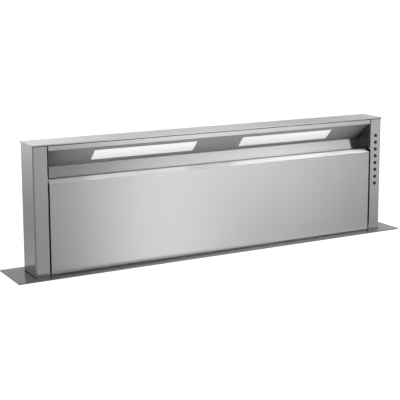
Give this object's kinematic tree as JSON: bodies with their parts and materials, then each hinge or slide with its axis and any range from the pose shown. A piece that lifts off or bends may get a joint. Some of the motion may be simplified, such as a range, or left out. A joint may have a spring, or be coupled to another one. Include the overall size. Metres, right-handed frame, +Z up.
{
  "type": "downdraft vent",
  "caption": "Retractable worktop downdraft vent: a steel tower with sloping lights, round buttons and a hinged filter door rises from a slim housing under the worktop.",
  "frame": {"origin": "middle of the footprint, on the floor plane under the four levelling pads", "axes": "+X along the width to the user's right, +Y from the cook's side to the back, +Z up; the worktop plane is at Z = 0.600 m"},
  "size_m": [1.2, 0.2, 0.942],
  "materials": {
    "brushed_steel": "fine brushed stainless steel, grain along the width",
    "polished_steel": "bright domed push buttons",
    "bright_steel": "ground steel shafts, screws and pins",
    "galvanised_steel": "galvanised sheet with a faint spangle",
    "dark_enamel": "satin dark grey enamel",
    "cast_aluminium": "rough die-cast aluminium",
    "filter_aluminium": "expanded aluminium mesh in a frame",
    "black_plastic": "moulded black plastic",
    "seal_rubber": "soft black rubber",
    "circuit_board": "circuit board with switches or lamps",
    "bronze": "sintered bronze nut",
    "frosted_diffuser": "frosted light diffuser, lit from behind"
  },
  "bodies": {
    "housing": {"worktop_flange": "brushed_steel", "rim_gasket": "seal_rubber", "slot_seal": "seal_rubber", "housing_front": "galvanised_steel", "housing_rear": "galvanised_steel", "housing_left_side": "galvanised_steel", "housing_right_side": "galvanised_steel", "housing_floor": "galvanised_steel", "guide_rail_left": "galvanised_steel", "guide_rail_right": "galvanised_steel", "drive_motor": "dark_enamel", "motor_gearbox": "cast_aluminium", "corner_gearbox_left": "cast_aluminium", "corner_gearbox_right": "cast_aluminium", "control_box": "dark_enamel", "cable_gland": "black_plastic", "duct_collar": "galvanised_steel", "outlet_cover": "galvanised_steel", "foot_left": "dark_enamel", "foot_right": "dark_enamel", "worktop_clamp_left": "galvanised_steel", "worktop_clamp_right": "galvanised_steel"},
    "tower": {"top_plate": "brushed_steel", "left_post": "brushed_steel", "right_post": "brushed_steel", "fascia": "brushed_steel", "light_panel": "brushed_steel", "light_lens_left": "frosted_diffuser", "light_lens_right": "frosted_diffuser", "led_strip_left": "circuit_board", "led_strip_right": "circuit_board", "filter_carrier": "brushed_steel", "rear_panel": "brushed_steel", "inner_cheek_left": "brushed_steel", "inner_cheek_right": "brushed_steel", "lower_sill": "brushed_steel", "drip_tray": "brushed_steel", "grease_filter_1": "filter_aluminium", "grease_filter_2": "filter_aluminium", "grease_filter_3": "filter_aluminium", "lift_nut_left": "bronze", "lift_nut_right": "bronze", "guide_shoe_left": "black_plastic", "guide_shoe_right": "black_plastic", "button_board": "circuit_board"},
    "door": {"door_panel": "brushed_steel", "door_liner": "brushed_steel", "hinge_pin_left": "bright_steel", "hinge_pin_right": "bright_steel"},
    "left_screw": {"lift_screw_left": "bright_steel"},
    "right_screw": {"lift_screw_right": "bright_steel"},
    "shaft": {"cross_shaft": "bright_steel"},
    "button_1": {"button_1": "polished_steel"},
    "button_2": {"button_2": "polished_steel"},
    "button_3": {"button_3": "polished_steel"},
    "button_4": {"button_4": "polished_steel"},
    "button_5": {"button_5": "polished_steel"},
    "button_6": {"button_6": "polished_steel"},
    "button_7": {"button_7": "polished_steel"},
    "button_8": {"button_8": "polished_steel"}
  },
  "joints": [
    {"name": "lift", "type": "slide", "parent": "housing", "child": "tower", "axis": [0, 0, 1], "range_m": [-0.3355, 0]},
    {"name": "door_hinge", "type": "hinge", "parent": "tower", "child": "door", "pos_m": [0, -0.0425, 0.6143], "axis": [1, 0, 0], "range_deg": [0, 80]},
    {"name": "left_screw_turn", "type": "hinge", "parent": "housing", "child": "left_screw", "pos_m": [-0.52675, -0.003, 0.3], "axis": [0, 0, 1], "range_deg": [0, 4831.3]},
    {"name": "right_screw_turn", "type": "hinge", "parent": "housing", "child": "right_screw", "pos_m": [0.52675, -0.003, 0.3], "axis": [0, 0, 1], "range_deg": [0, 4831.3]},
    {"name": "cross_shaft_turn", "type": "hinge", "parent": "housing", "child": "shaft", "pos_m": [0, -0.003, 0.066], "axis": [1, 0, 0], "range_deg": [0, 4831.3]},
    {"name": "button_1_press", "type": "slide", "parent": "tower", "child": "button_1", "axis": [0, 1, 0], "range_m": [0, 0.0015], "stiffness_N_per_m": 600, "springref_m": -0.001},
    {"name": "button_2_press", "type": "slide", "parent": "tower", "child": "button_2", "axis": [0, 1, 0], "range_m": [0, 0.0015], "stiffness_N_per_m": 600, "springref_m": -0.001},
    {"name": "button_3_press", "type": "slide", "parent": "tower", "child": "button_3", "axis": [0, 1, 0], "range_m": [0, 0.0015], "stiffness_N_per_m": 600, "springref_m": -0.001},
    {"name": "button_4_press", "type": "slide", "parent": "tower", "child": "button_4", "axis": [0, 1, 0], "range_m": [0, 0.0015], "stiffness_N_per_m": 600, "springref_m": -0.001},
    {"name": "button_5_press", "type": "slide", "parent": "tower", "child": "button_5", "axis": [0, 1, 0], "range_m": [0, 0.0015], "stiffness_N_per_m": 600, "springref_m": -0.001},
    {"name": "button_6_press", "type": "slide", "parent": "tower", "child": "button_6", "axis": [0, 1, 0], "range_m": [0, 0.0015], "stiffness_N_per_m": 600, "springref_m": -0.001},
    {"name": "button_7_press", "type": "slide", "parent": "tower", "child": "button_7", "axis": [0, 1, 0], "range_m": [0, 0.0015], "stiffness_N_per_m": 600, "springref_m": -0.001},
    {"name": "button_8_press", "type": "slide", "parent": "tower", "child": "button_8", "axis": [0, 1, 0], "range_m": [0, 0.0015], "stiffness_N_per_m": 600, "springref_m": -0.001}
  ],
  "couplings": [
    {"joint": "left_screw_turn", "follows": "lift", "rad_per_m": -251.33},
    {"joint": "right_screw_turn", "follows": "lift", "rad_per_m": -251.33},
    {"joint": "cross_shaft_turn", "follows": "lift", "rad_per_m": -251.33}
  ]
}
